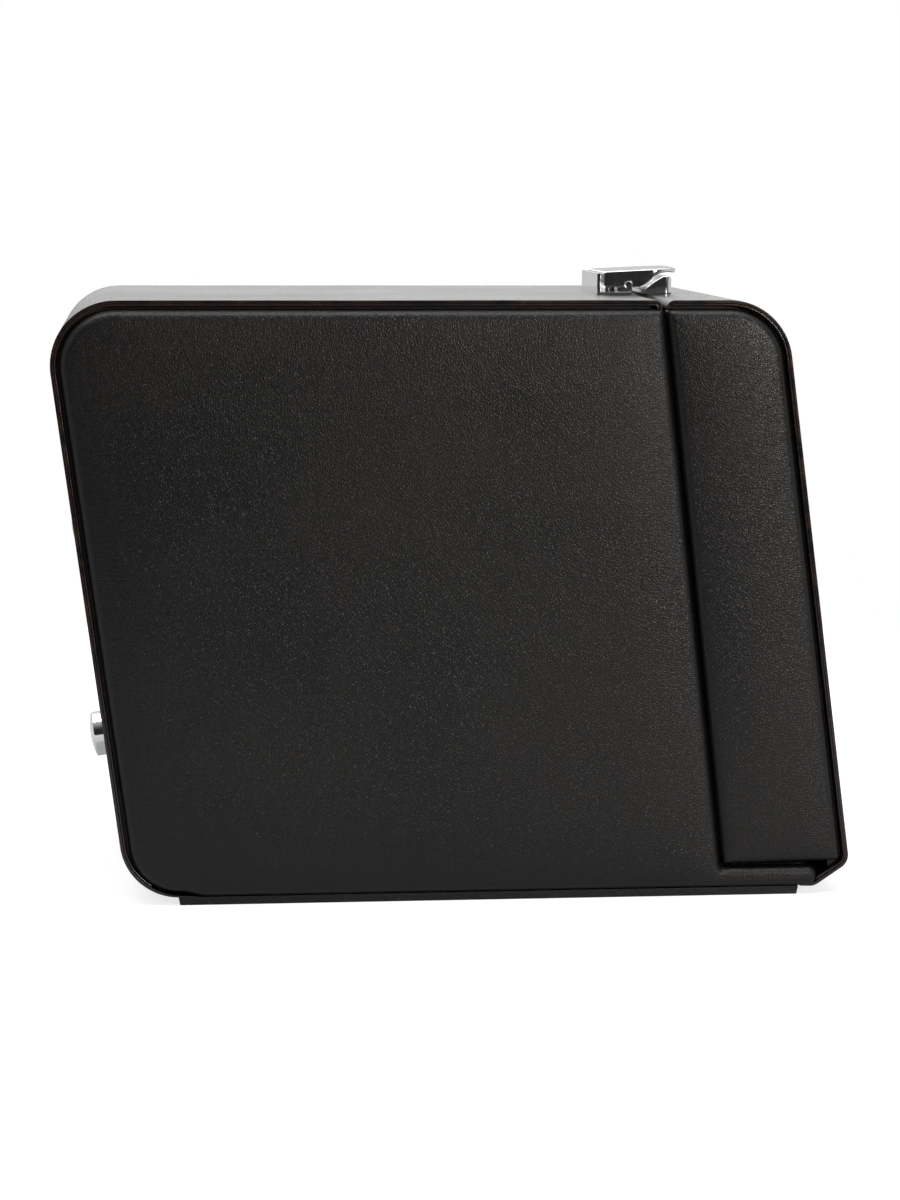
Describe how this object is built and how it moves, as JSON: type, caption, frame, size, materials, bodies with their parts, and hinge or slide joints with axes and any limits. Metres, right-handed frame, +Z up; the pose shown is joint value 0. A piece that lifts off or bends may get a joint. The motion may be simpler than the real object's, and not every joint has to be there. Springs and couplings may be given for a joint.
{
  "type": "poker chip case",
  "caption": "Leather-covered chip case with leaning sides, a bottom-hinged lid over a chip rack, a chrome latch on top and two drawers in the far end",
  "frame": {"origin": "centre of the base plate's underside, on the surface that the case stands on", "axes": "+X towards the hinged lid, +Y from the near padded side to the far one, +Z up"},
  "size_m": [0.2723, 0.148, 0.2142],
  "materials": {
    "leather": "fine grain, semi-matt",
    "suede": "short nap",
    "wood": "satin",
    "chrome": "polished",
    "steel": "satin",
    "chip_ivory": "matt",
    "chip_red": "matt",
    "chip_green": "matt",
    "chip_blue": "matt",
    "chip_black": "matt",
    "paper": "satin",
    "ivory_gloss": "gloss"
  },
  "bodies": {
    "root": {"base_plate": "leather", "base_screws": "steel", "bottom_board": "wood", "chip_rack": "suede", "far_drawer_guides": "wood", "far_side_board": "wood", "far_side_panel": "leather", "hinge_leather": "leather", "latch_base": "chrome", "latch_pin": "steel", "latch_screws": "steel", "latch_spring": "steel", "lower_shelf": "wood", "main_band_leather": "leather", "main_frame": "wood", "middle_shelf": "wood", "near_drawer_guides": "wood", "near_side_board": "wood", "near_side_panel": "leather", "partition": "wood", "rack_chips_row_1": "chip_ivory", "rack_chips_row_2": "chip_red", "rack_chips_row_3": "chip_green", "rack_chips_row_4": "chip_black", "shelf_bearers": "wood", "sill_cover": "leather", "top_shelf": "wood"},
    "lid": {"far_lid_panel": "leather", "far_lid_side_board": "wood", "keeper_screws": "steel", "latch_keeper": "chrome", "lid_band_leather": "leather", "lid_frame": "wood", "lid_lining": "suede", "near_lid_panel": "leather", "near_lid_side_board": "wood"},
    "lever": {"latch_lever": "chrome"},
    "lower_drawer": {"drawer_chip_tray": "suede", "drawer_chips_row_1": "chip_red", "drawer_chips_row_2": "chip_blue", "drawer_chips_row_3": "chip_ivory", "lower_drawer_box": "wood", "lower_drawer_front": "wood", "lower_drawer_knob": "chrome", "lower_drawer_leather": "leather", "lower_drawer_screw": "steel"},
    "upper_drawer": {"upper_drawer_box": "wood", "upper_drawer_front": "wood", "upper_drawer_leather": "leather", "upper_drawer_screw": "steel", "upper_drawer_stud": "chrome", "accessory_insert": "suede", "card_decks": "paper", "dealer_button": "ivory_gloss", "dice": "ivory_gloss"}
  },
  "joints": [
    {"name": "lid_hinge", "type": "hinge", "parent": "root", "child": "lid", "pos_m": [0.112, 0, 0.0031], "axis": [0, 1, 0], "range_deg": [0, 45]},
    {"name": "latch_rock", "type": "hinge", "parent": "root", "child": "lever", "pos_m": [0.0538, 0, 0.2086], "axis": [0, -1, 0], "range_deg": [0, 12], "stiffness_Nm_per_rad": 0.2, "springref_deg": -8.59, "deforming": ["latch_spring"]},
    {"name": "lower_drawer_slide", "type": "slide", "parent": "root", "child": "lower_drawer", "axis": [-1, 0, 0], "range_m": [0, 0.15]},
    {"name": "upper_drawer_slide", "type": "slide", "parent": "root", "child": "upper_drawer", "axis": [-1, 0, 0], "range_m": [0, 0.15]}
  ]
}
